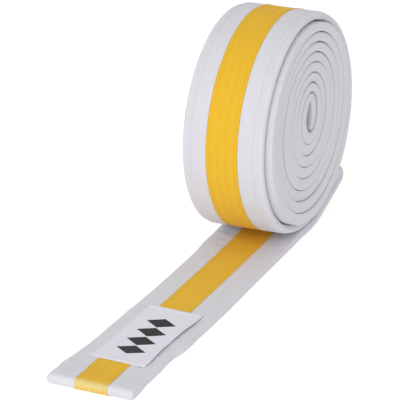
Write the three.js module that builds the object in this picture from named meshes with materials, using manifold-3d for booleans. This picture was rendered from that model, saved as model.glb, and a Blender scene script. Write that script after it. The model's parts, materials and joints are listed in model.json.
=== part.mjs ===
// Striped cotton martial arts belt, rolled up and standing on its edge, with its labelled end
// laid out in front.  Millimetres, +Z up.  X runs across the belt, -Y is the way the free end
// points, and the origin is on the floor under the middle of the whole object.
import * as THREE from 'three';
import { mergeVertices } from 'three/addons/utils/BufferGeometryUtils.js';
import Module from 'manifold-3d';

const wasm = await Module();
wasm.setup();

// ---- driving dimensions ------------------------------------------------------------------
const beltWidth = 40;
const coverThickness = 3.4;      // face to face, over the stuffing
const coverWall = 0.5;           // the layers of cotton drill, sewn flat
const sideWall = 1.2;            // the folded edge of the cover
const stuffingPlay = 0.3;        // between the stuffing and the cover all round
const ribbonWidth = 15.6;
const ribbonThickness = 0.3;
const layGap = 0.1;              // between layers that are sewn on each other
const threadWidth = 0.5;
const threadHeight = 0.15;
const threadRows = [-17.2, -12.4, -6, -2, 2, 6, 12.4, 17.2];

const eyeOpening = 1.9;          // from the eye of the roll to the belt where the roll begins
const eyeStretch = 2.5;          // how much taller than wide the turns start out
const turnGap = 0.85;            // spare room between the turns of the roll
const turns = 9;
const stepsPerTurn = 16;
const rollSag = 7.5;             // how much wider than a circle the outermost turn has sunk
const eyeRise = 3.2;             // the eye sits this far above the middle of the roll
const layerGap = 0.3;            // between the roll and the stretch of belt under it

const leaveAngle = 16;           // degrees past the bottom where the belt leaves the roll
const foldReach = 46;            // from the roll's middle to the centre of the fold behind it
const foldSlope = 15;            // degrees, the belt's rise towards the fold
const foldOpening = 0.6;         // between the two layers at the fold
const floorReach = 15;           // the belt touches the floor to this far behind the middle
const freeLength = 207;          // from the roll's middle to the tip in front
const tailHinge = 62;            // where the free end starts to lift, from the roll's middle
const endHinge = 108;            // where the labelled end curls, from the roll's middle
const bendGap = 0.3;             // between the parts of a layer at a bending line
const leaveClearance = 0.004864; // at the inner edge, where the belt turns off the roll

const labelWidth = 27;
const labelLength = 63;
const labelFromTip = 31;
const labelThickness = 0.4;
const labelSeamInset = 1.6;

// ---- worked out from them ----------------------------------------------------------------
const stackThickness = coverThickness + 2 * (layGap + ribbonThickness);
const turnPitch = stackThickness + turnGap;
const eyeRadius = stackThickness / 2 + eyeOpening;
const midHeight = stackThickness / 2;
const rollRadius = eyeRadius + turnPitch * turns;
const rollCentre = 1.5 * stackThickness + layerGap + rollRadius + eyeStretch;
const ribbonMiddle = coverThickness / 2 + layGap + ribbonThickness / 2;
const coverThreadMiddle = coverThickness / 2 + layGap + threadHeight / 2;
const ribbonThreadMiddle = ribbonMiddle + ribbonThickness / 2 + layGap + threadHeight / 2;
const labelMiddle = ribbonThreadMiddle + threadHeight / 2 + layGap + labelThickness / 2;
const labelThreadMiddle = labelMiddle + labelThickness / 2 + layGap + threadHeight / 2;
const stuffingThickness = coverThickness - 2 * coverWall - 2 * stuffingPlay;
const tipReach = freeLength - midHeight;         // centre of the round tip

const radians = THREE.MathUtils.degToRad;
const point = (y, z) => new THREE.Vector2(y, z);

// ---- the belt's middle line, in the Y-Z plane --------------------------------------------
function rollPoint(angle) {
  // angle 0 is the bottom of the outermost turn; it is negative going in towards the eye
  const inward = -angle / (2 * Math.PI * turns);
  const radius = rollRadius + (turnPitch * angle) / (2 * Math.PI);
  const across = radius + rollSag * (1 - inward);
  const up = radius + eyeStretch;
  const turned = angle - Math.PI / 2;
  return point(across * Math.cos(turned), rollCentre + eyeRise * inward + up * Math.sin(turned));
}

function woundLine() {
  const steps = turns * stepsPerTurn;
  const step = (2 * Math.PI) / stepsPerTurn;
  const line = Array.from({ length: steps + 1 }, (_, i) => rollPoint((i - steps) * step));
  line.push(rollPoint(radians(leaveAngle)));
  return line;
}

function foldLine() {
  const start = rollPoint(radians(leaveAngle));
  const run = foldReach - start.x;
  const upper = point(foldReach, start.y + run * Math.tan(radians(foldSlope)));
  const bend = (stackThickness + foldOpening) / 2;
  const line = [start, upper];
  const arcSteps = 6;
  for (let i = 1; i <= arcSteps; i += 1) {
    const turn = Math.PI / 2 + radians(foldSlope) - (Math.PI * i) / arcSteps;
    const centreY = upper.x + bend * Math.sin(radians(foldSlope));
    const centreZ = upper.y - bend * Math.cos(radians(foldSlope));
    line.push(point(centreY + bend * Math.cos(turn), centreZ + bend * Math.sin(turn)));
  }
  line.push(point(floorReach, midHeight));
  line.push(point(-tailHinge + bendGap / 2, midHeight));
  return line;
}

function flatLine(from, to) {
  return [point(-from, midHeight), point(-to, midHeight)];
}

// ---- solids ------------------------------------------------------------------------------
function offsetLine(line, distance) {
  // to the right of the way the line runs, which is the label's side of the belt
  const normals = line.slice(1).map((end, i) => {
    const way = end.clone().sub(line[i]).normalize();
    return point(way.y, -way.x);
  });
  return line.map((here, i) => {
    const before = normals[Math.max(i - 1, 0)];
    const after = normals[Math.min(i, normals.length - 1)];
    const mitre = before.clone().add(after).normalize();
    return here.clone().addScaledVector(mitre, distance / mitre.dot(after));
  });
}

function stretch(line, startBy, endBy) {
  // the same line with its two ends moved along it
  const longer = line.map((here) => here.clone());
  const first = line[0].clone().sub(line[1]).normalize();
  const last = line.at(-1).clone().sub(line.at(-2)).normalize();
  longer[0].addScaledVector(first, startBy);
  longer[longer.length - 1].addScaledVector(last, endBy);
  return longer;
}

function acrossBelt(outline, width, centreX = 0) {
  // an outline in the Y-Z plane, given a width along X
  const geometry = new THREE.ExtrudeGeometry(new THREE.Shape(outline), {
    depth: width, bevelEnabled: false, steps: 1,
  });
  geometry.applyMatrix4(new THREE.Matrix4().makeBasis(
    new THREE.Vector3(0, 1, 0), new THREE.Vector3(0, 0, 1), new THREE.Vector3(1, 0, 0),
  ));
  geometry.translate(centreX - width / 2, 0, 0);
  return geometry;
}

function layer(line, width, middle, thickness, centreX = 0) {
  const low = offsetLine(line, middle - thickness / 2);
  const high = offsetLine(line, middle + thickness / 2);
  return acrossBelt([...low, ...high.reverse()], width, centreX);
}

function solidOf(geometry) {
  const bare = geometry.clone();
  bare.deleteAttribute('normal');
  bare.deleteAttribute('uv');
  const merged = mergeVertices(bare, 1e-4);
  return new wasm.Manifold(new wasm.Mesh({
    numProp: 3,
    vertProperties: new Float32Array(merged.attributes.position.array),
    triVerts: new Uint32Array(merged.index.array),
  }));
}

function geometryOf(solid) {
  const mesh = solid.getMesh();
  const geometry = new THREE.BufferGeometry();
  geometry.setAttribute('position', new THREE.BufferAttribute(mesh.vertProperties, 3));
  geometry.setIndex(new THREE.BufferAttribute(mesh.triVerts, 1));
  geometry.computeVertexNormals();
  return geometry;
}

const carve = (outer, inner) => geometryOf(solidOf(outer).subtract(solidOf(inner)));

function coverSleeve(line, startWall, endWall) {
  // a wall of 0 leaves that end open, where the sleeve runs on into the next stretch
  const past = 1;
  const hollow = stretch(line, startWall ? -startWall : past, endWall ? -endWall : past);
  return carve(
    layer(line, beltWidth, 0, coverThickness),
    layer(hollow, beltWidth - 2 * sideWall, 0, coverThickness - 2 * coverWall),
  );
}

function stuffing(line, startWall, endWall) {
  const inner = stretch(
    line, startWall ? -startWall - stuffingPlay : 0, endWall ? -endWall - stuffingPlay : 0,
  );
  return layer(inner, beltWidth - 2 * sideWall - 2 * stuffingPlay, 0, stuffingThickness);
}

function tipLine(from, reach) {
  // along the face, round the tip and back along the underside, as a ribbon lies
  const radius = ribbonMiddle;
  const line = [point(-from, midHeight + radius)];
  const arcSteps = 8;
  for (let i = 0; i <= arcSteps; i += 1) {
    const turn = Math.PI / 2 + (Math.PI * i) / arcSteps;
    line.push(point(-reach + radius * Math.cos(turn), midHeight + radius * Math.sin(turn)));
  }
  line.push(point(-from, midHeight - radius));
  return line;
}

function roundTipSlab(from, reach, thickness, width) {
  // a flat stretch of belt whose far end is half round
  const outline = [point(-from, midHeight - thickness / 2), point(-from, midHeight + thickness / 2)];
  const arcSteps = 8;
  for (let i = 0; i <= arcSteps; i += 1) {
    const turn = Math.PI / 2 + (Math.PI * i) / arcSteps;
    const y = -reach + (thickness / 2) * Math.cos(turn);
    outline.push(point(y, midHeight + (thickness / 2) * Math.sin(turn)));
  }
  return acrossBelt(outline.reverse(), width);
}

// ---- colours -----------------------------------------------------------------------------
const cotton = new THREE.MeshStandardMaterial({ color: 0xe6e6ee, roughness: 0.9, metalness: 0 });
const ribbonYellow = new THREE.MeshStandardMaterial({ color: 0xe9b52c, roughness: 0.7, metalness: 0 });
const felt = new THREE.MeshStandardMaterial({ color: 0xd8d6cf, roughness: 1, metalness: 0 });
const thread = new THREE.MeshStandardMaterial({ color: 0xf2f2f4, roughness: 0.8, metalness: 0 });
const satin = new THREE.MeshStandardMaterial({ color: 0xf0f0f4, roughness: 0.5, metalness: 0 });

// ---- assembly ----------------------------------------------------------------------------
// the middle of the whole object lies between the tip and the back of the roll or of the fold
const belt = new THREE.Group();
belt.name = 'belt';

function addPiece(parent, name, geometry, material) {
  const mesh = new THREE.Mesh(geometry, material);
  mesh.name = name;
  parent.add(mesh);
  return mesh;
}

function addStretch(parent, suffix, line, startWall, endWall) {
  addPiece(parent, `cover_${suffix}`, coverSleeve(line, startWall, endWall), cotton);
  addPiece(parent, `stuffing_${suffix}`, stuffing(line, startWall, endWall), felt);
  const face = layer(line, ribbonWidth, ribbonMiddle, ribbonThickness);
  const back = layer(line, ribbonWidth, -ribbonMiddle, ribbonThickness);
  addPiece(parent, `stripe_face_${suffix}`, face, ribbonYellow);
  addPiece(parent, `stripe_back_${suffix}`, back, ribbonYellow);
}

function addThreads(parent, suffix, from, to) {
  threadRows.forEach((x, i) => {
    const onRibbon = Math.abs(x) < ribbonWidth / 2;
    const middle = onRibbon ? ribbonThreadMiddle : coverThreadMiddle;
    const row = layer(flatLine(from, to), threadWidth, middle, threadHeight, x);
    addPiece(parent, `stitch_row_${i + 1}_${suffix}`, row, thread);
  });
}

const roll = new THREE.Group();
const wound = woundLine();
const fold = foldLine();
// the belt turns here, so its inner edges come nearer to each other than its middle line does
const leaveGap = leaveClearance + midHeight * Math.tan(radians(leaveAngle) / 2);
const foldStart = stretch(fold, -leaveGap, 0);
addStretch(roll, 'wound', wound, coverWall, 0);
addStretch(roll, 'fold', foldStart, 0, 0);
belt.add(roll);

const tail = new THREE.Group();
const tailFrom = tailHinge + bendGap / 2;
const tailTo = endHinge - bendGap / 2;
addStretch(tail, 'tail', flatLine(tailFrom, tailTo), 0, 0);
addThreads(tail, 'tail', tailFrom, tailTo);
belt.add(tail);

const end = new THREE.Group();
const endFrom = endHinge + bendGap / 2;
const tipWall = coverWall + coverThickness / 2;
const hollowEnd = flatLine(endFrom - 1, tipReach);
addPiece(end, 'cover_end', carve(
  roundTipSlab(endFrom, tipReach, coverThickness, beltWidth),
  layer(hollowEnd, beltWidth - 2 * sideWall, 0, coverThickness - 2 * coverWall),
), cotton);
const stuffingEnd = layer(
  flatLine(endFrom, tipReach - stuffingPlay),
  beltWidth - 2 * sideWall - 2 * stuffingPlay, 0, stuffingThickness,
);
addPiece(end, 'stuffing_end', stuffingEnd, felt);
const ribbonEnd = layer(tipLine(endFrom, tipReach), ribbonWidth, 0, ribbonThickness);
addPiece(end, 'stripe_end', ribbonEnd, ribbonYellow);
addThreads(end, 'end', endFrom, tipReach - tipWall);

const labelTo = freeLength - labelFromTip;
const labelFrom = labelTo - labelLength;
const labelPiece = layer(flatLine(labelFrom, labelTo), labelWidth, labelMiddle, labelThickness);
addPiece(end, 'label', labelPiece, satin);
const seams = { front: labelTo - labelSeamInset, rear: labelFrom + labelSeamInset };
Object.entries(seams).forEach(([place, reach]) => {
  const line = flatLine(reach - threadWidth / 2, reach + threadWidth / 2);
  const seam = layer(line, labelWidth - 2 * labelSeamInset, labelThreadMiddle, threadHeight);
  addPiece(end, `label_seam_${place}`, seam, thread);
});
belt.add(end);

// stand the object over its origin
const box = new THREE.Box3().setFromObject(belt);
belt.position.set(0, -(box.min.y + box.max.y) / 2, -box.min.z);
belt.updateMatrixWorld(true);

export default belt;
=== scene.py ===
"""A padded cotton martial arts belt, rolled up on its edge with its labelled end laid out in front.

The belt is one long strip, so every piece of it is made flat first and then laid along the belt's
middle line.  Three measures say where a point is:

    reach   metres along the belt from the tip, growing towards the eye of the roll
    across  metres to the side of the belt's middle, towards the open face of the roll
    height  metres off the middle of the stuffing, towards the side that carries the label

Where the two faces differ, side is 1 for the face that carries the label and -1 for its back.
"""

import json
import logging
import math
import random
from dataclasses import dataclass, field
from enum import Enum

import bmesh
import bpy
import numpy as np
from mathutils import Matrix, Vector


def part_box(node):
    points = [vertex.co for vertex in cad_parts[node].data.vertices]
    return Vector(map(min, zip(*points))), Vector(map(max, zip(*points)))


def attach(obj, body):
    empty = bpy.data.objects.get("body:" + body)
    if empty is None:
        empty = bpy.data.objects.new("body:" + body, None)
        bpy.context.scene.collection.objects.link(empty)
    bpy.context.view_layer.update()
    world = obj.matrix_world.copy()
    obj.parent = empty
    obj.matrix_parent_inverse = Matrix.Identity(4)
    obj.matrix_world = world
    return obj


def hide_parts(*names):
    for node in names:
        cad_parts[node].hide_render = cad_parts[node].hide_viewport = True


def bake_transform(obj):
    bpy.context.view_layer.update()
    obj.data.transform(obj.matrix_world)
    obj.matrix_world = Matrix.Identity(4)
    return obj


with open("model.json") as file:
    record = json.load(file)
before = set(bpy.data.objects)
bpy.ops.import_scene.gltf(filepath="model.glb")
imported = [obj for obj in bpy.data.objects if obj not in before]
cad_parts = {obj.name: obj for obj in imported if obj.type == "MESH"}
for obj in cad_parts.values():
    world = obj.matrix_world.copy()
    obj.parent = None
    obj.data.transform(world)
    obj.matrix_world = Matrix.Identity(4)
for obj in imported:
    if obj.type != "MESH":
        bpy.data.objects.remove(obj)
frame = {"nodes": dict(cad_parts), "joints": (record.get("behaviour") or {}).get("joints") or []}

logging.basicConfig(level=logging.INFO, format="%(name)s: %(message)s")
log = logging.getLogger("belt")

Array = np.ndarray
Piece = bpy.types.Object
Socket = bpy.types.NodeSocket

MM = 0.001
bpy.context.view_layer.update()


class Side(Enum):
    """The two faces of the belt."""

    LABEL = 1
    BACK = -1


# ---- measures -------------------------------------------------------------------------------


def ramp(value: Array, start: float, length: float) -> Array:
    """Rises from 0 at start to 1 at the given length past it, and stays there."""
    return np.clip((value - start) / length, 0, 1)


def eased(share: Array) -> Array:
    """A share from 0 to 1 with its corners taken off."""
    return share * share * (3 - 2 * share)


def travelled(first: Array, second: Array) -> Array:
    """How far along a line each of its points is, from their two coordinates."""
    return np.concatenate([[0.0], np.cumsum(np.hypot(np.diff(first), np.diff(second)))])


def in_order(*marks: Array) -> Array:
    """Several sets of marks as one, each mark once, to the nearest thousandth of a millimetre."""
    return np.unique(np.round(np.concatenate(marks), 6))


# ---- the belt's middle line -----------------------------------------------------------------


@dataclass
class BeltLine:
    """The middle line of the belt, from the tip to the eye of the roll, in the Y-Z plane.

    It runs flat along the floor, rises behind the roll to a tight fold, comes back under the roll
    and winds up in it.
    """

    stack: float = 4.2 * MM
    eye_radius: float = 4.0 * MM
    eye_stretch: float = 2.5 * MM
    turn_pitch: float = 5.05 * MM
    turns: int = 9
    roll_sag: float = 7.5 * MM
    eye_rise: float = 3.2 * MM
    layer_gap: float = 0.3 * MM
    leave_angle: float = math.radians(16)
    fold_reach: float = 46 * MM
    fold_slope: float = math.radians(15)
    fold_opening: float = 0.6 * MM
    floor_reach: float = 15 * MM
    tail_hinge: float = 62 * MM
    mean_radius: float = 30 * MM
    outer_radius: float = 52 * MM
    corner_window: float = 24 * MM
    corner_reach: float = 11 * MM
    step: float = 0.25 * MM
    points: Array = field(init=False)
    reaches: Array = field(init=False)
    leave_reach: float = field(init=False)
    lift_reach: float = field(init=False)
    fold_middle: float = field(init=False)
    roll_y: float = field(init=False)
    tip_y: float = field(init=False)

    def __post_init__(self) -> None:
        """Samples the line and measures it."""
        hinges = {joint["name"]: joint["pos_m"] for joint in frame["joints"]}
        self.roll_y = hinges["tail_lift"][1] + self.tail_hinge
        self.tip_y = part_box("cover_end")[0].y
        self.points = self._sampled()
        self.reaches = travelled(*self.points.T)

    @property
    def length(self) -> float:
        """How long the belt is, from its tip to the end in the eye."""
        return float(self.reaches[-1])

    def _roll_points(self, angles: Array) -> Array:
        """Points of the spiral.

        Args:
            angles: Radians past the bottom of the outermost turn, negative going inwards.

        Returns:
            One row of y and z for each angle.
        """
        inward = -angles / (2 * math.pi * self.turns)
        outer = self.eye_radius + self.turn_pitch * self.turns
        radius = outer + self.turn_pitch * angles / (2 * math.pi)
        centre = 1.5 * self.stack + self.layer_gap + outer + self.eye_stretch
        turned = angles - math.pi / 2
        y = (radius + self.roll_sag * (1 - inward)) * np.cos(turned)
        z = centre + self.eye_rise * inward + (radius + self.eye_stretch) * np.sin(turned)
        return np.column_stack([y + self.roll_y, z])

    def _straight(self, start: Array, end: Array) -> Array:
        """Evenly spaced points from start up to, and without, end."""
        count = max(2, round(float(np.linalg.norm(end - start)) / self.step))
        return start + (end - start) * (np.arange(count) / count)[:, None]

    def _sampled(self) -> Array:
        """The whole line as closely spaced points, tip first.

        Returns:
            One row of y and z for each point.
        """
        middle = self.stack / 2
        tip = np.array([self.tip_y, middle])
        lift_off = np.array([self.roll_y + self.floor_reach, middle])
        leave = self._roll_points(np.array([self.leave_angle]))[0]
        slope = math.tan(self.fold_slope)
        run = self.roll_y + self.fold_reach - leave[0]
        upper = leave + np.array([run, run * slope])
        bend = (self.stack + self.fold_opening) / 2
        centre = upper + bend * np.array([math.sin(self.fold_slope), -math.cos(self.fold_slope)])
        turned = math.pi / 2 + self.fold_slope - math.pi * (1 - np.linspace(0, 1, 40))
        arc = centre + bend * np.column_stack([np.cos(turned), np.sin(turned)])
        steps = round(math.pi * 2 * self.turns * self.mean_radius / self.step)
        spiral = self._roll_points(np.linspace(self.leave_angle, -2 * math.pi * self.turns, steps))
        floor = self._straight(tip, lift_off)
        rise = self._straight(lift_off, arc[0])
        back = self._straight(arc[-1], leave)
        line = np.concatenate([floor, rise, arc, back[1:], spiral])
        reaches = travelled(*line.T)
        self.leave_reach = float(reaches[len(line) - len(spiral)])
        self.lift_reach = float(reaches[len(floor)])
        self.fold_middle = float(reaches[len(floor) + len(rise) + len(arc) // 2])
        return self._with_round_corners(line, reaches, (self.lift_reach, self.leave_reach))

    def _with_round_corners(self, line: Array, reaches: Array, corners: tuple) -> Array:
        """The line with its corners rounded.

        Args:
            line: The points.
            reaches: How far along each is.
            corners: How far along the corners are.

        Returns:
            The rounded line, evenly spaced.
        """
        even = np.arange(0, reaches[-1], self.step)
        spaced = np.column_stack([np.interp(even, reaches, line[:, k]) for k in (0, 1)])
        window = np.hanning(round(self.corner_window / self.step))
        window /= window.sum()
        half = len(window) // 2
        padded = np.pad(spaced, ((half, half), (0, 0)), mode="edge")
        smoothed = [np.convolve(padded[:, k], window, "same")[half:-half] for k in (0, 1)]
        soft = np.column_stack(smoothed)
        near = sum(np.exp(-(((even - corner) / self.corner_reach) ** 4)) for corner in corners)
        return spaced + (soft - spaced) * np.clip(near, 0, 1)[:, None]

    def at(self, reach: Array) -> tuple[Array, Array]:
        """Where the line is, and which way is the label's side.

        Args:
            reach: Metres from the tip, in any shape of array.

        Returns:
            The points and the unit normals, each with a last axis of y and z.
        """
        ahead, behind = reach + self.step, reach - self.step
        spots = [self._interpolated(r) for r in (reach, ahead, behind)]
        way = spots[1] - spots[2]
        way /= np.linalg.norm(way, axis=-1, keepdims=True)
        return spots[0], np.stack([-way[..., 1], way[..., 0]], axis=-1)

    def _interpolated(self, reach: Array) -> Array:
        """The line's points at any reach; past its ends the line goes straight on.

        Args:
            reach: Metres along the belt from the tip.

        Returns:
            The points, with a last axis of y and z.
        """
        inside = [np.interp(reach, self.reaches, self.points[:, k]) for k in (0, 1)]
        spot = np.stack(inside, axis=-1)
        start = self.points[0] + (self.points[1] - self.points[0]) * (reach / self.step)[..., None]
        last = self.points[-1] - self.points[-2]
        end = self.points[-1] + last * ((reach - self.length) / self.step)[..., None]
        spot = np.where((reach < 0)[..., None], start, spot)
        return np.where((reach > self.length)[..., None], end, spot)

    def spacing(self, reach: Array) -> Array:
        """How far apart the middles of neighbouring turns are.

        Args:
            reach: Metres from the tip.

        Returns:
            Metres; off the roll, what it is where the belt turns off it.
        """
        spot, normal = self.at(np.maximum(reach, self.leave_reach))
        centre_z = 1.5 * self.stack + self.eye_radius + self.turn_pitch * self.turns
        centre = np.array([self.roll_y, centre_z])
        way = spot - centre
        way /= np.linalg.norm(way, axis=-1, keepdims=True)
        sides = self.turn_pitch + self.roll_sag / self.turns
        rise = self.eye_rise / self.turns
        growth = np.stack([sides * way[..., 0], self.turn_pitch * way[..., 1] - rise], axis=-1)
        return np.abs(np.sum(growth * normal, axis=-1))

    def turns_in(self, reach: Array) -> Array:
        """About how many turns of the roll lie outside a point.

        Args:
            reach: Metres along the belt from the tip.

        Returns:
            Turns: 0 at the bottom of the outermost, and all the way from there to the tip.
        """
        wound = np.clip(reach - self.leave_reach, 0, None)
        outer = 2 * math.pi * self.outer_radius
        return wound / (outer * (1 - 0.5 * wound / (self.length - self.leave_reach)))


# ---- the belt's surface ---------------------------------------------------------------------


@dataclass
class BeltSurface:
    """How thick the belt is at each spot, and where the spot lies."""

    line: BeltLine
    width: float = 40 * MM
    half: float = 1.98 * MM
    thin: float = 0.45 * MM
    turn_gap: float = 0.05 * MM
    pressed_edge: float = 0.22 * MM
    free_edge: float = 1.9 * MM
    edge_reach: float = 2.0
    ribbon_width: float = 15.6 * MM
    ribbon_thickness: float = 0.3 * MM
    rows: tuple = tuple(x * MM for x in (-17.2, -12.4, -6.0, -2.0, 2.0, 6.0, 12.4, 17.2))
    stitch: float = 3.7 * MM
    groove: float = 0.05 * MM
    groove_width: float = 0.9 * MM
    hole: float = 0.36 * MM
    unevenness: float = 0.03 * MM
    seen_radius: float = 50 * MM
    creased_radius: float = 54 * MM
    crease_width: float = 1.1 * MM
    crease_reach: float = 7.5 * MM
    tip_fullness: float = 0.45 * MM
    proud: float = 2.5 * MM
    second_turn_proud: float = 0.9 * MM
    ribbon_lift: float = 0.04 * MM

    def __post_init__(self) -> None:
        """Draws the soft unevenness of the stuffing, the same every time."""
        rng = random.Random(11)
        self.waves = [
            (rng.uniform(60, 260), rng.uniform(90, 420), rng.uniform(0, 6.3), rng.uniform(0.5, 1))
            for _ in range(9)
        ]
        leave = self.line.leave_reach
        self.seen_end = leave + 2 * math.pi * self.seen_radius
        creased_end = leave + 2 * math.pi * self.creased_radius
        self.creases = [
            (rng.uniform(leave, creased_end), rng.uniform(-0.5, 0.5),
             rng.uniform(0.06, 0.16) * MM, rng.choice((-1, 1)) * rng.uniform(4, 14) * MM)
            for _ in range(16)
        ]
        tail = self.line.lift_reach
        self.creases += [
            (tail - 37 * MM, -0.35, 0.50 * MM, -13 * MM),
            (tail - 43 * MM, -0.28, 0.42 * MM, -14 * MM),
            (tail - 50 * MM, -0.20, 0.36 * MM, -12 * MM),
            (tail - 60 * MM, 0.10, 0.25 * MM, -15 * MM),
            (tail - 47 * MM, 0.25, 0.30 * MM, 12 * MM),
            (tail - 66 * MM, 0.20, 0.25 * MM, 15 * MM),
            (62 * MM, 0.30, 0.30 * MM, 17 * MM),
            (48 * MM, -0.15, 0.20 * MM, 18 * MM),
        ]

    def row_phase(self, index: int) -> float:
        """How far a row's needle holes are shifted along the belt."""
        return (index * 2 % 4) * self.stitch / 4

    def flatness(self, reach: Array) -> Array:
        """How far the belt is pressed flat, from 0 at its tip and in the roll to 1 between them."""
        to_lift = ramp(self.line.lift_reach - reach, 18 * MM, 26 * MM)
        return eased(ramp(reach, 24 * MM, 34 * MM) * to_lift)

    def edge_radius(self, reach: Array, side: Array) -> Array:
        """How round the belt's long edges are: crisp where turns press on them, round where free.

        Args:
            reach: Metres from the tip.
            side: 1 on the label's side, -1 on the back.

        Returns:
            Metres.
        """
        turn = self.line.turns_in(reach)
        pressed = np.where(side > 0, ramp(turn, 0.8, 0.25), ramp(turn, 0.6, 0.3))
        on_floor = reach < self.line.lift_reach
        round_edge = self.free_edge - 0.6 * MM * self.flatness(reach) - 0.2 * MM * on_floor
        rim = 0.25 * MM * (side > 0) * np.clip(2.1 - turn, 0, 1)
        tight = self.pressed_edge + 0.7 * MM * (1 - self.pressing(reach)) + rim
        return round_edge + (tight - round_edge) * pressed

    def edge_stretch(self, reach: Array) -> Array:
        """How much wider than high the round edges are: the outermost turn tapers to its edge.

        Args:
            reach: Metres along the belt from the tip.

        Returns:
            The edge's width as a share of its height.
        """
        turn = self.line.turns_in(reach)
        outer = np.clip(turn / 0.12, 0, 1) * np.clip((0.95 - turn) / 0.15, 0, 1)
        return 1 + (self.edge_reach - 1) * outer

    def pressing(self, reach: Array) -> Array:
        """How hard turns press on each other: 1 at the roll's sides, 0 at its top and bottom."""
        return ramp(self.line.spacing(reach) / 2, 2.55 * MM, 0.3 * MM)

    def filled(self, reach: Array, side: Array) -> Array:
        """Half of the thickness the belt has, before its stitches pull it in.

        Args:
            reach: Metres from the tip.
            side: 1 on the label's side, -1 on the back.

        Returns:
            Metres; in the roll the turns press against each other.
        """
        wound = ramp(reach - self.line.leave_reach, 4 * MM, 30 * MM)
        outside = ramp(reach, self.seen_end, 14 * MM)
        wound = wound * np.where(side > 0, outside, 1.0)
        tight = self.line.spacing(reach) / 2
        level = self.pressing(reach)
        slack = 0.13 + 0.1 * np.sin(reach / (23 * MM)) + 0.06 * np.sin(reach / (9 * MM) + 1)
        tight = tight - self.turn_gap - slack * MM * (1 - level)
        core = ramp(reach - self.line.length, -36 * MM, 8 * MM) * (side < 0)
        tight = tight + 1.7 * MM * core * self.line.at(reach)[1][..., 0] ** 2
        bend = (reach - self.line.fold_middle) / MM
        fold = np.exp(-((bend / 24) ** 4))
        folded = MM * fold * np.where(side > 0, 0.38, 0.45 + 1.0 * np.clip(bend / 10, -0.4, 1))
        extra = folded + self.tip_bulge(reach) - self.thin * self.flatness(reach)
        return extra + self.half + (tight - self.half) * wound

    def thickness(self, across: Array, reach: Array, side: Array = 1,
                  holes: bool = True) -> Array:
        """Half of the belt's thickness at each spot of the cover.

        Args:
            across: Metres to the side.
            reach: Metres from the tip.
            side: 1 on the label's side, -1 on the back.
            holes: Whether each needle hole shows as a dimple.

        Returns:
            Metres from the middle of the stuffing to the cloth.
        """
        across, reach, side = np.broadcast_arrays(across, reach, side)
        half = self.filled(reach, side)
        uneven = sum(size * np.sin(a * across + b * reach + c) for a, b, c, size in self.waves)
        seen = reach < self.seen_end
        half = half + self.unevenness * uneven * seen
        half -= np.where(seen, 0.24, 0.37) * MM * (np.abs(across) < self.ribbon_width / 2)
        left = ramp(-across, 9 * MM, 10 * MM) ** 2
        half -= 0.35 * MM * self.flatness(reach) * left * (side > 0)
        for index, row in enumerate(self.rows):
            near = np.exp(-(((across - row) / self.groove_width) ** 2))
            half -= self.groove * near
            if holes:
                off = (reach - self.row_phase(index)) / self.stitch
                off = (off - np.round(off)) * self.stitch
                close = np.exp(-(((across - row) / (0.5 * MM)) ** 2) - (off / (0.55 * MM)) ** 2)
                half -= self.hole * close
        for spot, slant, depth, centre in self.creases:
            off = (reach - spot - slant * across) / self.crease_width
            half -= depth * np.exp(-(off**2) - ((across - centre) / self.crease_reach) ** 2)
        return half

    def sway(self, across: Array, reach: Array) -> Array:
        """How far to the side the belt lies off its straight course.

        Args:
            across: Metres to the side of the belt's middle.
            reach: Metres along the belt from the tip.

        Returns:
            Metres towards the open face of the roll.
        """
        turn = self.line.turns_in(reach)
        step = ramp(turn, 0.52, 0.4)
        out = self.proud * eased(step) - 0.8 * MM * ramp(turn, 1.6, 2)
        out = out + self.second_turn_proud * np.exp(-(((turn - 1.25) / 0.32) ** 4))
        out = out + step * MM * (0.22 * np.sin(2.6 * turn + 1.0) + 0.16 * np.sin(6.1 * turn))
        right = np.clip(across / (self.width / 2), 0, 1) ** 2
        left = np.clip(-across / (self.width / 2), 0, 1) ** 2
        for where, size, centre, spread in (
            (1, 0.5, 108, 60), (right, 0.7, 92, 38), (right, 0.9, 62, 8), (right, -0.7, 45, 7),
            (left, 1.0, 132, 42), (left, -0.3, 30, 14), (left, -1.7, 4, 24), (1, 0.8, 0, 14),
        ):
            out = out + where * size * MM * self.swell(reach, centre, spread)
        return out

    def tip_bulge(self, reach: Array) -> Array:
        """How much fuller each half of the belt is where its tip is folded in and sewn."""
        return self.tip_fullness * self.swell(reach, 0, 11)

    def swell(self, reach: Array, centre: float, spread: float) -> Array:
        """A smooth bump along the belt, 1 at its middle; both measures are in millimetres."""
        return np.exp(-(((reach / MM - centre) / spread) ** 4))

    def lift(self, across: Array, reach: Array) -> Array:
        """How far the belt's edge stands off the floor where the tail is wavy.

        Args:
            across: Metres to the side of the belt's middle.
            reach: Metres along the belt from the tip.

        Returns:
            Metres up.
        """
        right = ramp(across, 6 * MM, 14 * MM) ** 2
        left = ramp(-across, 6 * MM, 14 * MM) ** 2
        wave_right = 0.8 * np.exp(-(((reach - 62 * MM) / (10 * MM)) ** 2))
        wave_left = 0.5 * np.exp(-(((reach - 176 * MM) / (8 * MM)) ** 2))
        sink = self.thin * self.flatness(reach) + 0.1 * MM * (reach < self.line.lift_reach)
        return MM * (right * wave_right + left * wave_left) - sink + self.tip_bulge(reach)

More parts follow.
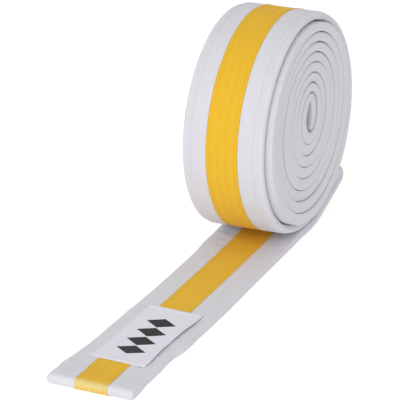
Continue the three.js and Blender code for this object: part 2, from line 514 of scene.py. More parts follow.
    def place(self, across: Array, height: Array, reach: Array) -> Array:
        """Points in the frame from the belt's own three measures.

        Args:
            across: Metres to the side of the belt's middle.
            height: Metres off the middle of the stuffing.
            reach: Metres along the belt from the tip.

        Returns:
            The points, with a last axis of x, y and z.
        """
        across, height, reach = np.broadcast_arrays(across, height, reach)
        spot, normal = self.line.at(reach)
        x = across + self.sway(across, reach)
        slant = 4.3 * MM - 0.06 * across  # the cut end is short of the tip and a little askew
        y = spot[..., 0] + normal[..., 0] * height + slant * self.swell(reach, 0, 21)
        z = spot[..., 1] + normal[..., 1] * height + self.lift(across, reach)
        return np.stack([x, y, z], axis=-1)

    def top(self, across: Array, reach: Array, side: int) -> Array:
        """Height of what shows on a face: the ribbon inside its width, the cover outside it.

        Args:
            across: Metres to the side of the belt's middle.
            reach: Metres along the belt from the tip.
            side: 1 on the label's side, -1 on the back.

        Returns:
            Metres off the middle of the stuffing.
        """
        cloth = self.thickness(across, reach, side, holes=False)
        on_ribbon = np.abs(across) < self.ribbon_width / 2
        return cloth + np.where(on_ribbon, self.ribbon_thickness + self.ribbon_lift, 0.0)


# ---- making cloth ---------------------------------------------------------------------------


class Loom:
    """Makes strips, sleeves and threads as grids of faces that are laid in place."""

    def __init__(self, name: str) -> None:
        """Starts an empty piece.

        Args:
            name: What the finished object is called.
        """
        self.name = name
        self.bm = bmesh.new()
        self.uv = self.bm.loops.layers.uv.new("UVMap")

    def lay(self, points: Array, u: Array, v: Array) -> None:
        """Adds one closed strip, whose cut ends have a crisp edge.

        Args:
            points: Rows along the strip, each a closed loop whose last point is its first.
            u: The pattern's first coordinate at each point, in metres.
            v: Its second.
        """
        uv = np.stack(np.broadcast_arrays(u, v), axis=-1)
        along, around = points.shape[:2]
        columns, rows = around - 1, along - 1
        grid = bmesh.ops.create_grid(self.bm, x_segments=columns, y_segments=rows, size=0.5)
        verts = grid["verts"]
        spots = {}
        for vert in verts:
            row = round((vert.co.y + 0.5) * rows)
            column = round((vert.co.x + 0.5) * columns)
            spots[vert] = (row, column)
            vert.co = points[row, column]
        faces = {face for vert in verts for face in vert.link_faces}
        for face in faces:
            face.smooth = True
            for loop in face.loops:
                loop[self.uv].uv = uv[spots[loop.vert]]
        bmesh.ops.remove_doubles(self.bm, verts=verts, dist=1e-7)
        rims = [edge for edge in self.bm.edges if edge.is_boundary]
        capped = bmesh.ops.holes_fill(self.bm, edges=rims, sides=0)
        for face in capped["faces"]:
            face.smooth = False
            for edge in face.edges:
                edge.smooth = False

    def finish(self) -> Piece:
        """Turns the faces outwards and makes the object.

        Returns:
            The object, which stands at the origin.
        """
        bmesh.ops.dissolve_degenerate(self.bm, edges=self.bm.edges, dist=1e-8)
        bmesh.ops.recalc_face_normals(self.bm, faces=self.bm.faces)
        mesh = bpy.data.meshes.new(self.name)
        self.bm.to_mesh(mesh)
        self.bm.free()
        piece = bpy.data.objects.new(self.name, mesh)
        bpy.context.scene.collection.objects.link(piece)
        return piece


@dataclass(frozen=True)
class Thread:
    """A lockstitched thread: four points a stitch, of which the first dips into a needle hole."""

    radius: float
    flatness: float
    rise: tuple[float, float, float, float]
    swell: tuple[float, float, float, float] = (0.7, 1.0, 1.05, 1.0)

    def section(self, number: Array) -> tuple[Array, Array, Array]:
        """The thread's outline at each of its points.

        Args:
            number: Which quarter of a stitch each point is, counted from a needle hole.

        Returns:
            Metres to the side and up, a row for each point, and the angle round the thread.
        """
        turn = np.linspace(0, 2 * math.pi, 7)
        thin = self.radius * np.array(self.swell)[number % 4][:, None]
        up = np.array(self.rise)[number % 4][:, None] * MM
        return thin * np.cos(turn), up + self.flatness * thin * np.sin(turn), turn


def dress(piece: Piece, material: bpy.types.Material) -> None:
    """Gives a piece its material."""
    piece.data.materials.append(material)


# ---- finishes -------------------------------------------------------------------------------


class NodeTree:
    """A material's nodes, with short calls to add them."""

    def __init__(self, name: str) -> None:
        """Starts a material with one surface shader.

        Args:
            name: The material's name.
        """
        self.material = bpy.data.materials.new(name)
        self.material.use_nodes = True
        self.tree = self.material.node_tree
        self.shader = self.tree.nodes["Principled BSDF"]
        uv = self.tree.nodes.new("ShaderNodeUVMap")
        uv.uv_map = "UVMap"
        self.uv = uv.outputs["UV"]
        parts = self.tree.nodes.new("ShaderNodeSeparateXYZ")
        self.tree.links.new(self.uv, parts.inputs[0])
        self.u, self.v = parts.outputs["X"], parts.outputs["Y"]

    def maths(self, operation: str, *values: object) -> Socket:
        """A math node.

        Args:
            operation: Its operation.
            values: Sockets or numbers, in order.

        Returns:
            The result.
        """
        node = self.tree.nodes.new("ShaderNodeMath")
        node.operation = operation
        for socket, value in zip(node.inputs, values):
            self._feed(socket, value)
        return node.outputs[0]

    def _feed(self, socket: Socket, value: object) -> None:
        """Links a socket, or sets it if the value is a number or a colour.

        Args:
            socket: The input.
            value: What it gets.
        """
        if isinstance(value, Socket):
            self.tree.links.new(value, socket)
        else:
            socket.default_value = value

    def ripple(self, source: Socket, pitch: float) -> Socket:
        """A wave from 0 to 1 that repeats every pitch metres."""
        turned = self.maths("MULTIPLY", source, 2 * math.pi / pitch)
        return self.maths("MULTIPLY_ADD", self.maths("SINE", turned), 0.5, 0.5)

    def noise(self, scale: float, detail: float = 2.0, stretch: float = 1.0) -> Socket:
        """Soft noise over the cloth.

        Args:
            scale: Features per metre.
            detail: How many finer layers it has.
            stretch: How many times finer it is across the belt than along it.

        Returns:
            The noise, about 0.5 on average.
        """
        mapping = self.tree.nodes.new("ShaderNodeMapping")
        mapping.inputs["Scale"].default_value = (scale * stretch, scale, scale)
        self.tree.links.new(self.uv, mapping.inputs["Vector"])
        noise = self.tree.nodes.new("ShaderNodeTexNoise")
        noise.inputs["Scale"].default_value = 1.0
        noise.inputs["Detail"].default_value = detail
        self.tree.links.new(mapping.outputs[0], noise.inputs["Vector"])
        return noise.outputs["Fac"]

    def blend(self, share: object, low: object, high: object) -> Socket:
        """A colour between two others.

        Args:
            share: How much of the second colour there is, from 0 to 1.
            low: The first colour.
            high: The second colour.

        Returns:
            The mixed colour.
        """
        node = self.tree.nodes.new("ShaderNodeMix")
        node.data_type = "RGBA"
        self._feed(node.inputs["Factor"], share)
        self._feed(node.inputs["A"], low)
        self._feed(node.inputs["B"], high)
        return node.outputs["Result"]

    def spread(self, value: Socket, low: float, high: float) -> Socket:
        """A value from 0 to 1, spread between two others."""
        return self.maths("MULTIPLY_ADD", value, high - low, low)

    def bump(self, height: Socket, distance: float, strength: float,
             under: Socket | None = None) -> Socket:
        """A bumped normal, over another if there is one.

        Args:
            height: The relief, from 0 to 1.
            distance: How deep it is, in metres.
            strength: How strongly it shows.
            under: The normal that it is laid over.

        Returns:
            The bumped normal.
        """
        node = self.tree.nodes.new("ShaderNodeBump")
        node.inputs["Distance"].default_value = distance
        node.inputs["Strength"].default_value = strength
        self.tree.links.new(height, node.inputs["Height"])
        if under is not None:
            self.tree.links.new(under, node.inputs["Normal"])
        return node.outputs["Normal"]

    def surface(self, **sockets: object) -> bpy.types.Material:
        """Feeds the shader's sockets, which are named here with _ for a space.

        Args:
            sockets: The value of each socket.

        Returns:
            The finished material.
        """
        for name, value in sockets.items():
            self._feed(self.shader.inputs[name.replace("_", " ")], value)
        return self.material


class Weave(Enum):
    """How the yarns cross."""

    TWILL = "twill"
    RIB = "rib"
    SATIN = "satin"
    FELT = "felt"
    THREAD = "thread"


@dataclass(frozen=True)
class Cloth:
    """One woven finish."""

    name: str
    colour: tuple[float, float, float]
    # The darker colour: it is mixed in for the cloth's own uneven tone, and as painted shade in the
    # hollows of the weave.
    shade: tuple[float, float, float]
    weave: Weave
    pitch: float
    relief: float
    roughness: float = 0.9
    sheen: float = 0.15
    motif: bool = False
    ink: tuple[float, float, float] = (0.006, 0.006, 0.009)
    # Painted highlight: a paler colour near the tip, where the ribbon turns round the rounded fold
    # and catches the light, and how far from the tip it reaches.
    tip_highlight: tuple[float, float, float] | None = None
    tip_highlight_reach: float = 3.4 * MM

    def pattern(self, nodes: NodeTree) -> Socket:
        """The weave's relief, from 0 in its hollows to 1 on its yarns.

        Args:
            nodes: The material's nodes.

        Returns:
            The relief.
        """
        if self.weave is Weave.TWILL:
            slant = nodes.maths("ADD", nodes.u, nodes.maths("MULTIPLY", nodes.v, 1.35))
            ridge = nodes.ripple(slant, self.pitch)
            counter = nodes.ripple(nodes.maths("SUBTRACT", nodes.v, nodes.u), self.pitch * 0.62)
            return nodes.maths("MULTIPLY_ADD", counter, 0.35, nodes.maths("MULTIPLY", ridge, 0.65))
        if self.weave is Weave.RIB:
            rib = nodes.ripple(nodes.v, self.pitch)
            warp = nodes.ripple(nodes.u, self.pitch * 0.5)
            return nodes.maths("MULTIPLY_ADD", warp, 0.3, nodes.maths("MULTIPLY", rib, 0.7))
        if self.weave is Weave.SATIN:
            weft = nodes.ripple(nodes.v, self.pitch)
            slub = nodes.noise(1 / self.pitch, detail=1.0, stretch=0.15)
            return nodes.maths("MULTIPLY_ADD", slub, 0.6, nodes.maths("MULTIPLY", weft, 0.4))
        if self.weave is Weave.THREAD:
            ply = nodes.maths("ADD", nodes.u, nodes.v)
            return nodes.ripple(ply, self.pitch)
        return nodes.noise(1 / self.pitch, detail=3.0)

    def material(self) -> bpy.types.Material:
        """Builds the finish.

        Returns:
            The material.
        """
        nodes = NodeTree(self.name)
        relief = self.pattern(nodes)
        slub = nodes.noise(scale=170.0, detail=3.0, stretch=2.5)
        blotch = nodes.noise(scale=26.0)
        lint = nodes.noise(scale=1500.0)
        tone = nodes.maths("MULTIPLY_ADD", slub, 0.45, nodes.maths("MULTIPLY", blotch, 0.35))
        # Painted shade: the hollows of the weave or thread ply are painted darker than its yarns.
        # The slub and blotch noise above are the cloth's own uneven tone.
        tone = nodes.maths("MULTIPLY_ADD", relief, 0.2, tone)
        colour = nodes.blend(tone, (*self.shade, 1.0), (*self.colour, 1.0))
        # Painted highlight: the ribbon is painted paler where it turns round the tip, as though its
        # rounded fold catches the light.
        if self.tip_highlight:
            from_tip = nodes.maths("DIVIDE", nodes.maths("ABSOLUTE", nodes.v), self.tip_highlight_reach)
            near = nodes.maths("SUBTRACT", 1.0, nodes.maths("MINIMUM", from_tip, 1.0))
            colour = nodes.blend(nodes.maths("MULTIPLY", near, 0.8), colour, (*self.tip_highlight, 1.0))
        if self.motif:
            colour = nodes.blend(lozenges(nodes), colour, (*self.ink, 1.0))
        fibres = nodes.bump(lint, 0.05 * MM, 0.35)
        normal = nodes.bump(relief, self.relief, 0.75, fibres)
        normal = nodes.bump(slub, 0.10 * MM, 0.30, normal)
        rough = nodes.spread(slub, self.roughness - 0.06, min(1.0, self.roughness + 0.06))
        return nodes.surface(
            Base_Color=colour, Roughness=rough, Normal=normal,
            Sheen_Weight=self.sheen, Sheen_Roughness=0.5, Specular_IOR_Level=0.25,
        )


def lozenges(nodes: NodeTree) -> Socket:
    """A plain woven band of lozenges down the middle of the label, 1 inside them and 0 outside.

    Args:
        nodes: The material's nodes.

    Returns:
        The mask.
    """
    middle, pitch, rise, half = 30.5 * MM, 10.6 * MM, 5.0 * MM, 7.4 * MM
    from_middle = nodes.maths("SUBTRACT", nodes.v, middle)
    cell = nodes.maths("FRACT", nodes.maths("MULTIPLY_ADD", from_middle, 1 / pitch, 8.0))
    along = nodes.maths("ABSOLUTE", nodes.maths("SUBTRACT", cell, 0.5))
    along = nodes.maths("MULTIPLY", along, pitch / rise)
    across = nodes.maths("ABSOLUTE", nodes.maths("DIVIDE", nodes.u, half))
    inside = nodes.maths("LESS_THAN", nodes.maths("ADD", along, across), 1.0)
    near = nodes.maths("LESS_THAN", nodes.maths("ABSOLUTE", from_middle), 2 * pitch)
    return nodes.maths("MULTIPLY", inside, near)


COTTON = Cloth(
    "cotton_drill", (0.78, 0.775, 0.835), (0.69, 0.685, 0.735), Weave.TWILL, 0.62 * MM, 0.07 * MM,
)
RIBBON = Cloth(
    "yellow_ribbon", (0.90, 0.555, 0.035), (0.80, 0.46, 0.018), Weave.RIB, 0.55 * MM, 0.06 * MM,
    # The paler yellow near the tip is a painted highlight on the ribbon's turn round the tip.
    roughness=0.8, sheen=0.05, tip_highlight=(0.80, 0.68, 0.34),
)
FELT = Cloth(
    "needled_cotton", (0.80, 0.78, 0.72), (0.66, 0.63, 0.57), Weave.FELT, 1.3 * MM, 0.2 * MM,
)
SATIN = Cloth(
    "label_satin", (0.84, 0.83, 0.92), (0.78, 0.77, 0.85), Weave.SATIN, 0.35 * MM, 0.03 * MM,
    roughness=0.5, sheen=0.05, motif=True,
)
WHITE_THREAD = Cloth(
    "white_thread", (0.80, 0.80, 0.84), (0.68, 0.68, 0.72), Weave.THREAD, 0.5 * MM, 0.05 * MM,
    roughness=0.7,
)
YELLOW_THREAD = Cloth(
    "yellow_thread", (0.90, 0.52, 0.03), (0.78, 0.42, 0.02), Weave.THREAD, 0.5 * MM, 0.05 * MM,
    roughness=0.7,
)


# ---- the pieces -----------------------------------------------------------------------------


@dataclass
class Stretch:
    """One stretch of belt: it rides on one body, or spans the joint between two.

    The ending says which CAD nodes it stands for.
    """

    name: str
    start: float
    end: float
    bodies: tuple[str, ...]
    endings: tuple[str, ...]
    joint: str = ""
    bend: float = 13 * MM


@dataclass
class Belt:
    """Builds every piece of the belt, dresses it and, where it rides on one body, attaches it to
    that body.
    """

    surface: BeltSurface
    fine: float = 0.925 * MM
    coarse: float = 3.7 * MM
    still_behind: float = 11 * MM
    past_seen: float = 12 * MM
    beside_row: float = 0.7 * MM
    first_stitch: float = 5 * MM
    ribbon_stop: float = 2 * MM
    stuffing_thickness: float = 1.9 * MM
    stuffing_corner: float = 0.25 * MM
    stuffing_side: float = 1.5 * MM
    stuffing_stop: float = 2.4 * MM
    row_thread: Thread = Thread(0.24 * MM, 2 / 3, (-0.40, -0.10, -0.05, -0.10))

    def __post_init__(self) -> None:
        """Divides the belt where it keeps still: between its two hinges, and under the roll."""
        line = self.surface.line
        tail_low, tail_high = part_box("cover_tail")
        self.split = (tail_low.y + tail_high.y) / 2 - line.tip_y
        hidden = line.roll_y - self.still_behind - line.tip_y
        self.seen = self.surface.seen_end + self.past_seen
        split = self.split
        self.front = Stretch("front", 0.0, split, ("end", "tail"), ("_end",), "end_curl")
        self.middle = Stretch("middle", split, hidden, ("tail", "roll"), ("_tail",), "tail_lift")
        self.rolled = Stretch("rolled", hidden, line.length, ("roll",), ("_wound", "_fold"))
        self.cotton = COTTON.material()
        self.ribbon = RIBBON.material()
        self.thread = {True: YELLOW_THREAD.material(), False: WHITE_THREAD.material()}

    # -- where rows of vertices go --

    def stations(self, stretch: Stretch) -> Array:
        """How far along the rows of a stretch are: close together where the belt shows.

        Args:
            stretch: Which stretch of the belt.

        Returns:
            Metres along the belt from the tip, growing.
        """
        split = min(max(self.seen, stretch.start), stretch.end)
        steps = max(1, round((split - stretch.start) / self.fine))
        shown = np.linspace(stretch.start, split, steps + 1)
        if split >= stretch.end:
            return shown
        count = round((stretch.end - split) / self.coarse)
        return np.concatenate([shown, np.linspace(split, stretch.end, count + 1)[1:]])

    def rounded(self, stations: Array, radius: float) -> tuple[Array, Array]:
        """Stations and their share of the thickness where the belt's own ends are half round.

        Args:
            stations: How far along the rows are.
            radius: Half of the belt's thickness.

        Returns:
            The stations with those of the round ends, and each one's share, 0 at the very end.
        """
        turn = np.linspace(0, math.pi / 2, 8)
        last = stations[-1]
        if stations[0] > 0 and last < self.surface.line.length:
            return stations, np.ones(len(stations))
        from_end = radius * (1 - np.sin(turn))
        if stations[0] <= 0:
            inner = stations[stations > radius * 1.2]
            stations = np.concatenate([from_end[::-1], inner])
            share = np.concatenate([np.cos(turn)[::-1], np.ones(len(inner))])
        else:
            inner = stations[stations < last - radius * 1.2]
            stations = np.concatenate([inner, last - from_end])
            share = np.concatenate([np.ones(len(inner)), np.cos(turn)])
        share[np.argmin(share)] = 0.0
        return stations, share

    def cover_section(self) -> tuple[Array, Array, Array, Array]:
        """The cover's outline in one section, as a closed loop.

        Returns:
            Metres across, the side (1 or -1), which edge a point belongs to (-1, 1 or, off the
            edges, 0) and how far round that edge it is, in radians.
        """
        shape = self.surface
        rows = np.array(shape.rows)
        near = self.beside_row
        between = (rows[1:] + rows[:-1]) / 2
        ribbon_edges = np.array([-1, 1]) * (shape.ribbon_width / 2 + 0.05 * MM)
        inside = shape.width / 2 - shape.free_edge * shape.edge_reach
        lower = in_order(rows, between, ribbon_edges)[::-1]
        upper = in_order(lower, rows - near, rows + near)
        lower, upper = lower[np.abs(lower) < inside], upper[np.abs(upper) < inside]
        corner = 7
        turn = np.linspace(0, math.pi / 2, corner)
        edge = np.full(corner, shape.width / 2)
        across = np.concatenate([upper, edge, edge, lower, -edge, -edge])
        counts = [len(upper), corner, corner, len(lower), corner, corner]
        side = np.repeat([1, 1, -1, -1, -1, 1], counts)
        at_edge = np.repeat([0, 1, 1, 0, -1, -1], counts)
        flat_above, flat_below = np.zeros(len(upper)), np.zeros(len(lower))
        turned = np.concatenate([flat_above, turn, turn[::-1], flat_below, turn, turn[::-1]])
        close = [*range(len(across)), 0]
        return across[close], side[close], at_edge[close], turned[close]

    # -- pieces --

    def cover(self, stretch: Stretch) -> Piece:
        """The cotton cover of a stretch, folded round the stuffing at both edges.

        Args:
            stretch: Which stretch of the belt.

        Returns:
            The cover.
        """
        shape = self.surface
        flat, side, at_edge, turned = self.cover_section()
        reach, share = self.rounded(self.stations(stretch), shape.half)
        reach, share = reach[:, None], share[:, None]
        radius = np.minimum(shape.edge_radius(reach, side), shape.filled(reach, side) - 0.03 * MM)
        across = flat + at_edge * radius * shape.edge_stretch(reach) * (np.sin(turned) - 1)
        below = np.abs(at_edge) * radius * (1 - np.cos(turned))
        height = side * (shape.thickness(across, reach, side) - below) * share
        tuck = 1 - 0.05 * (1 - share) ** 3
        points = shape.place(across * tuck, height, reach)
        middle = len(reach) // 2
        round_it = travelled(across[middle], side * (shape.half - below[middle]))
        loom = Loom(f"cover_{stretch.name}")
        loom.lay(points, round_it, reach)
        return loom.finish()

    def ribbon_strip(self, loom: Loom, reach: Array, turned: Array) -> None:
        """Adds a ribbon to a loom.

        Args:
            loom: Where it goes.
            reach: How far along its rows are.
            turned: The angle of each row round the tip: 0 on the label's side, pi on the back.
        """
        shape = self.surface
        half = shape.ribbon_width / 2
        rows = np.array([x for x in shape.rows if abs(x) < half])
        near, rim = self.beside_row, half - 0.1 * MM
        top = in_order(rows, rows - near, rows + near, [-4 * MM, 0, 4 * MM, -rim, rim])
        under = [half, half, half * 0.5, 0, -half * 0.5, -half, -half]
        across = np.concatenate([top, under, top[:1]])
        thick = shape.ribbon_thickness
        low = 0.7 * thick
        lifted = np.concatenate([
            np.full(len(top), thick), [low, 0, 0, 0, 0, 0, low], [thick],
        ])
        reach, turned = reach[:, None], turned[:, None]
        side = np.where(turned < 1.5, 1, -1)
        cloth = shape.thickness(across, np.maximum(reach, shape.half), side)
        height = (cloth + lifted + shape.ribbon_lift) * np.cos(turned)
        ahead = (shape.half + lifted + 0.06 * MM) * np.sin(turned)
        points = shape.place(across, height, reach - ahead)
        travel = reach[:, 0] - shape.half * turned[:, 0]
        loom.lay(points, travelled(across, lifted), travel[:, None])

    def stripe(self, stretch: Stretch, side: Side) -> Piece:
        """The ribbon on one side of a stretch.

        Args:
            stretch: Which stretch of the belt.
            side: Which face of the belt.

        Returns:
            The ribbon.
        """
        loom = Loom(f"stripe_{side.name.lower()}_{stretch.name}")
        reach = self.stations(stretch)
        if stretch is self.rolled:
            reach = reach[reach < stretch.end - self.ribbon_stop]
        turned = np.full(len(reach), 0.0 if side is Side.LABEL else math.pi)
        self.ribbon_strip(loom, reach, turned)
        return loom.finish()

    def stripe_round_tip(self, stretch: Stretch) -> Piece:
        """The ribbon of the end, which turns round the tip.

        Args:
            stretch: Which stretch of the belt.

        Returns:
            The ribbon.
        """
        loom = Loom(f"stripe_{stretch.name}")
        flat = self.stations(stretch)
        flat = flat[flat > 1.3 * self.surface.half][::-1]
        turn = np.linspace(0, math.pi, 15)
        reach = np.concatenate([flat, np.full(len(turn), self.surface.half), flat[::-1]])
        turned = np.concatenate([np.zeros(len(flat)), turn, np.full(len(flat), math.pi)])
        self.ribbon_strip(loom, reach, turned)
        return loom.finish()

    def stitching(self, stretch: Stretch, on_ribbon: bool) -> Piece:
        """The stitches of a stretch, on its label's side, and on its back where that shows.

        Args:
            stretch: Which stretch of the belt.
            on_ribbon: Whether these are the rows on the ribbon, or those beside it.

        Returns:
            All of the rows as one piece.
        """
        shape = self.surface
        kind = "stripe" if on_ribbon else "cover"
        loom = Loom(f"stitching_{kind}_{stretch.name}")
        first = max(stretch.start, self.first_stitch)
        ends = {Side.LABEL: self.seen, Side.BACK: shape.line.leave_reach}
        for index, row in enumerate(shape.rows):
            if (abs(row) < shape.ribbon_width / 2) is not on_ribbon:
                continue
            for side, last in ends.items():
                self.stitch_row(loom, index, side, first, min(stretch.end, last))
        return loom.finish()

    def stitch_row(self, loom: Loom, index: int, side: Side, first: float, last: float) -> None:
        """Adds one row of lockstitches: a thread that dips into the cloth at each needle hole.

        Args:
            loom: Where it goes.
            index: Which row.
            side: Which face of the belt.
            first: Where the row starts.
            last: Where it ends.
        """
        shape = self.surface
        phase = shape.row_phase(index)
        quarter = shape.stitch / 4
        begin, end = math.ceil((first - phase) / quarter), math.floor((last - phase) / quarter)
        number = np.arange(begin, end + 1)
        reach = (phase + number * quarter)[:, None]
        aside, up, turn = self.row_thread.section(number)
        row = shape.rows[index]
        cloth = shape.top(np.full_like(reach, row), reach, side.value)
        points = shape.place(row + aside, side.value * (cloth + up), reach)
        loom.lay(points, turn * 0.3 * MM, reach)

    def stuffing(self, stretch: Stretch) -> Piece:
        """The flat strip of needled cotton inside a stretch.

        Args:
            stretch: Which stretch of the belt.

        Returns:
            The stuffing.
        """
        shape = self.surface
        loom = Loom(f"stuffing_{stretch.name}")
        stop = self.stuffing_stop
        start = stretch.start + (stop if stretch is self.front else 0)
        end = stretch.end - (stop if stretch is self.rolled else 0)
        reach = np.linspace(start, end, round((end - start) / self.coarse) + 1)[:, None]
        half, thick = shape.width / 2 - self.stuffing_side, self.stuffing_thickness / 2
        side = np.linspace(-half, half, 9)
        across = np.concatenate([side, side[::-1], side[:1]])
        height = np.repeat([thick, -thick, thick], [len(side), len(side), 1])
        at_corner = np.abs(across) > half - 0.1 * MM
        height = height - self.stuffing_corner * np.sign(height) * at_corner
        points = shape.place(across, height, reach)
        loom.lay(points, travelled(across, height), reach)
        return loom.finish()

    # -- putting them together --

    def join(self, piece: Piece, stretch: Stretch, nodes: list[str]) -> None:
        """Gives a piece its stretch's body, or bakes its placing where the stretch spans a joint,
        and hides its CAD nodes.

        Args:
            piece: The piece.
            stretch: Which stretch of the belt.
            nodes: The CAD nodes that it stands for.
        """
        if stretch.joint:
            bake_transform(piece)
        else:
            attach(piece, stretch.bodies[0])
        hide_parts(*nodes)
        log.info("%s: %d faces", piece.name, len(piece.data.polygons))

    def build(self) -> None:
        """Makes every stretch."""
        felt = FELT.material()
        for stretch in (self.rolled, self.middle, self.front):
            cover = self.cover(stretch)
            dress(cover, self.cotton)
            self.join(cover, stretch, ["cover" + ending for ending in stretch.endings])
            stuffing = self.stuffing(stretch)
            dress(stuffing, felt)
            self.join(stuffing, stretch, ["stuffing" + ending for ending in stretch.endings])
            for on_ribbon in (False, True):
                threads = self.stitching(stretch, on_ribbon)
                dress(threads, self.thread[on_ribbon])
                self.join(threads, stretch, self.row_nodes(stretch, on_ribbon))
        self.stripes()

    def row_nodes(self, stretch: Stretch, on_ribbon: bool) -> list[str]:
        """The CAD nodes of a stretch's rows of stitching on the ribbon, or beside it.

        Args:
            stretch: Which stretch of the belt.
            on_ribbon: Whether to take the rows on the ribbon, or those beside it.

        Returns:
            Their names.
        """
        inside = [abs(row) < self.surface.ribbon_width / 2 for row in self.surface.rows]
        chosen = [i + 1 for i, ribbon in enumerate(inside) if ribbon is on_ribbon]
        names = [f"stitch_row_{i}{ending}" for i in chosen for ending in stretch.endings]
        return [name for name in names if name in frame["nodes"]]

    def stripes(self) -> None:
        """Makes the ribbons: one on each face of the belt, joined by one round the tip."""
        names = {Side.LABEL: "stripe_face", Side.BACK: "stripe_back"}
        for stretch in (self.rolled, self.middle):
            for side, name in names.items():
                ribbon = self.stripe(stretch, side)
                nodes = [name + ending for ending in stretch.endings]
                self.lay_ribbon(ribbon, stretch, nodes)
        ribbon = self.stripe_round_tip(self.front)
        self.lay_ribbon(ribbon, self.front, ["stripe_end"])

    def lay_ribbon(self, ribbon: Piece, stretch: Stretch, nodes: list[str]) -> None:
        """Dresses a ribbon and joins it to its stretch.

        Args:
            ribbon: The ribbon.
            stretch: Which stretch of the belt.
            nodes: The CAD nodes that it stands for.
        """
        dress(ribbon, self.ribbon)
        self.join(ribbon, stretch, nodes)


@dataclass
class Label:
    """The satin patch near the tip, sewn down at its short ends and loose along one side."""

    surface: BeltSurface
    thickness: float = 0.2 * MM
    hem: float = 2.4 * MM
    puff: float = 1.2 * MM
    skew: float = 0.10
    shift: float = 0.9 * MM
    rows: int = 60
    across_rows: int = 31
    lift: float = 0.14 * MM
    seam_inset: float = 1.5 * MM
    seam_stitch: float = 2.2 * MM
    seam_margin: float = 1 * MM
    seam_rise: float = 0.16 * MM
    seam_thread: Thread = Thread(0.16 * MM, 13 / 16, (-0.34, -0.02, 0.02, -0.02))

    def __post_init__(self) -> None:
        """Takes its place from the frame."""
        low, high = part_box("label")
        self.width = high.x - low.x
        self.start = low.y - self.surface.line.tip_y
        self.length = high.y - low.y

    def height(self, across: Array, along: Array) -> Array:
        """Height of the label's underside.

        Args:
            across: Metres to the side.
            along: Metres from its end nearest the tip.

        Returns:
            Metres off the middle of the stuffing.
        """
        reach = self.start + along
        rest = self.surface.filled(reach, 1) + self.lift
        share = along / self.length
        loose = ramp(across, 4 * MM, self.width / 2 - 4 * MM) ** 2
        held = np.clip(np.sin(math.pi * share), 0, 1) ** 0.7
        wave = 0.75 + 0.25 * np.sin(share * 9.0 + 0.6)
        quilt = 0.06 * MM * np.sin(across / (2.1 * MM) + 0.4) * np.sin(along / (6.5 * MM))
        side = ramp(-across, 8 * MM, 5.5 * MM)
        return rest + self.puff * loose * held * wave + quilt * held - 0.10 * MM * side * side

    def patch(self) -> Piece:
        """The patch itself, with its short ends folded under.

        Returns:
            The patch.
        """
        half = self.width / 2
        rim = half + 0.06 * MM
        side = np.linspace(-half, half, self.across_rows)
        across = np.concatenate([side, [rim], side[::-1], [-rim], side[:1]])
        top, under = np.ones(self.across_rows), np.zeros(self.across_rows)
        level = np.concatenate([top, [0.5], under, [0.5], top[:1]])
        hems = np.array([self.hem, self.hem + 0.25 * MM])
        even = np.linspace(0, self.length, self.rows + 1)
        along = np.sort(np.concatenate([even, hems, self.length - hems]))[:, None]
        edge = np.minimum(along, self.length - along)
        folded = np.clip((self.hem + 0.2 * MM - edge) / (0.2 * MM), 0, 1)
        round_end = np.sqrt(np.clip(edge / (0.3 * MM), 0.05, 1))
        thick = (self.thickness + 0.26 * MM * folded) * round_end
        height = self.height(across, along) + thick * level
        share = along / self.length
        free = np.clip(across / half, 0, 1) ** 3
        bow = 0.6 * MM * (np.sin(math.pi * share) - np.sin(3 * math.pi * share)) * free
        points = self.laid(across - bow, height, along)
        loom = Loom("label_patch")
        loom.lay(points, across, along)
        return loom.finish()

    def laid(self, across: Array, height: Array, along: Array) -> Array:
        """Points of the label in the frame: it sits a little askew on the belt."""
        reach = self.start + along - self.skew * across
        return self.surface.place(across + self.shift, height, reach)

    def seam(self, name: str, along: float) -> Piece:
        """A row of stitches across the label.

        Args:
            name: The seam's object name.
            along: Metres from the label's end nearest the tip.

        Returns:
            The seam.
        """
        loom = Loom(name)
        quarter = self.seam_stitch / 4
        number = np.arange(int((self.width - 2 * self.seam_margin) / quarter) + 1)
        across = (self.seam_margin - self.width / 2 + number * quarter)[:, None]
        aside, up, turn = self.seam_thread.section(number)
        under = self.height(across, np.full_like(across, along))
        face = under + self.thickness + self.seam_rise
        points = self.laid(across, face + up, along + aside)
        loom.lay(points, turn * 0.2 * MM, across)
        return loom.finish()

    def build(self) -> None:
        """Makes the label and its two seams, which all ride on the belt's end."""
        patch = self.patch()
        dress(patch, SATIN.material())
        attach(patch, "end")
        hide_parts("label")
        thread = WHITE_THREAD.material()
        inset = self.seam_inset
        for name, along in (("label_seam_front", inset), ("label_seam_rear", self.length - inset)):
            seam = self.seam(f"{name}_stitches", along)
            dress(seam, thread)
            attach(seam, "end")
            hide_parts(name)
        log.info("label_patch: %d faces", len(patch.data.polygons))


# ---- studio ---------------------------------------------------------------------------------


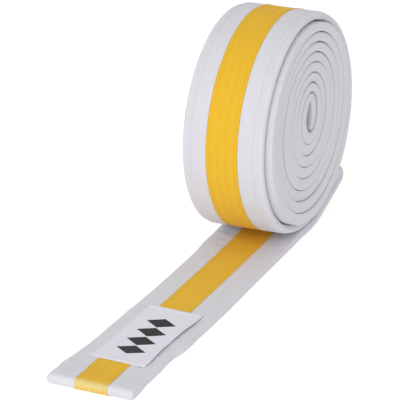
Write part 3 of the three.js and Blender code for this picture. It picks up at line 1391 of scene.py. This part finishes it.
@dataclass(frozen=True)
class Studio:
    """Pale floor, soft light and the camera."""

    azimuth: float = math.radians(23.1)
    elevation: float = math.radians(21.4)
    distance: float = 1.30
    lens: float = 280.6
    target: tuple[float, float, float] = (0.0408, -0.1019, 0.0858)
    lamp_distance: float = 1.6
    lamp_target: tuple[float, float, float] = (0.0, 0.0, 0.05)
    floor_size: float = 6.0
    floor_z: float = -0.0002
    floor_tone: float = 0.5
    glow: float = 0.5
    glow_seen: float = 0.68
    ambient: float = 0.68

    def way(self, azimuth: float, elevation: float) -> Vector:
        """The unit vector from the object towards a viewer."""
        level = math.cos(elevation)
        return Vector((math.sin(azimuth) * level, -math.cos(azimuth) * level, math.sin(elevation)))

    def aimed(self, name: str, data: bpy.types.ID, target: Vector, back: Vector,
              distance: float) -> Piece:
        """Adds an object that looks at a target from some way back.

        Args:
            name: What it is called.
            data: Its camera or light.
            target: Where it looks.
            back: The unit vector from the target towards it.
            distance: How far off it is, in metres.

        Returns:
            The object.
        """
        item = bpy.data.objects.new(name, data)
        item.location = target + back * distance
        item.rotation_euler = back.to_track_quat("Z", "Y").to_euler()
        bpy.context.scene.collection.objects.link(item)
        return item

    def camera(self) -> None:
        """Sets the camera."""
        data = bpy.data.cameras.new("camera")
        data.lens = self.lens
        data.sensor_width = 36.0
        data.clip_end = 20.0
        back = self.way(self.azimuth, self.elevation)
        camera = self.aimed("camera", data, Vector(self.target), back, self.distance)
        bpy.context.scene.camera = camera

    def lamp(self, name: str, azimuth: float, elevation: float, size: float, power: float) -> None:
        """Adds a large soft lamp that looks at the roll.

        Args:
            name: What it is called.
            azimuth: Degrees round from the front, towards the open face of the roll.
            elevation: Degrees up.
            size: Its side, in metres.
            power: Its power, in watts.
        """
        data = bpy.data.lights.new(name, "AREA")
        data.size = size
        data.energy = power
        back = self.way(math.radians(azimuth), math.radians(elevation))
        self.aimed(name, data, Vector(self.lamp_target), back, self.lamp_distance)

    def floor(self) -> None:
        """Adds the floor, which is pale enough to show almost no shade."""
        bm = bmesh.new()
        bmesh.ops.create_grid(bm, x_segments=1, y_segments=1, size=self.floor_size)
        mesh = bpy.data.meshes.new("floor")
        bm.to_mesh(mesh)
        bm.free()
        floor = bpy.data.objects.new("floor", mesh)
        bpy.context.scene.collection.objects.link(floor)
        floor.location.z = self.floor_z
        material = bpy.data.materials.new("floor_paint")
        material.use_nodes = True
        shader = material.node_tree.nodes["Principled BSDF"]
        shader.inputs["Base Color"].default_value = (*[self.floor_tone] * 3, 1)
        shader.inputs["Roughness"].default_value = 1.0
        shader.inputs["Specular IOR Level"].default_value = 0.0
        shader.inputs["Emission Color"].default_value = (1, 1, 1, 1)
        glow = material.node_tree.nodes.new("ShaderNodeMapRange")
        glow.inputs["To Min"].default_value = self.glow
        glow.inputs["To Max"].default_value = self.glow_seen
        path = material.node_tree.nodes.new("ShaderNodeLightPath")
        material.node_tree.links.new(path.outputs["Is Camera Ray"], glow.inputs["Value"])
        material.node_tree.links.new(glow.outputs["Result"], shader.inputs["Emission Strength"])
        floor.data.materials.append(material)

    def world(self) -> None:
        """Sets the soft light from all round."""
        world = bpy.data.worlds.new("world")
        world.use_nodes = True
        ground = world.node_tree.nodes["Background"]
        ground.inputs["Color"].default_value = (1.0, 0.995, 0.99, 1)
        ground.inputs["Strength"].default_value = self.ambient
        bpy.context.scene.world = world

    def build(self) -> None:
        """Sets up everything round the object."""
        view = bpy.context.scene.view_settings
        view.view_transform = "Standard"
        view.look = "None"
        self.camera()
        self.floor()
        self.world()
        self.lamp("key", azimuth=2, elevation=36, size=0.9, power=6.6)
        self.lamp("low", azimuth=6, elevation=7, size=0.5, power=2.6)


def main() -> None:
    """Builds the belt and the studio, and writes down how large the belt is."""
    line = BeltLine()
    log.info("belt length %.3f m", line.length)
    surface = BeltSurface(line)
    Belt(surface).build()
    Label(surface).build()
    Studio().build()


if __name__ == "__main__":
    main()
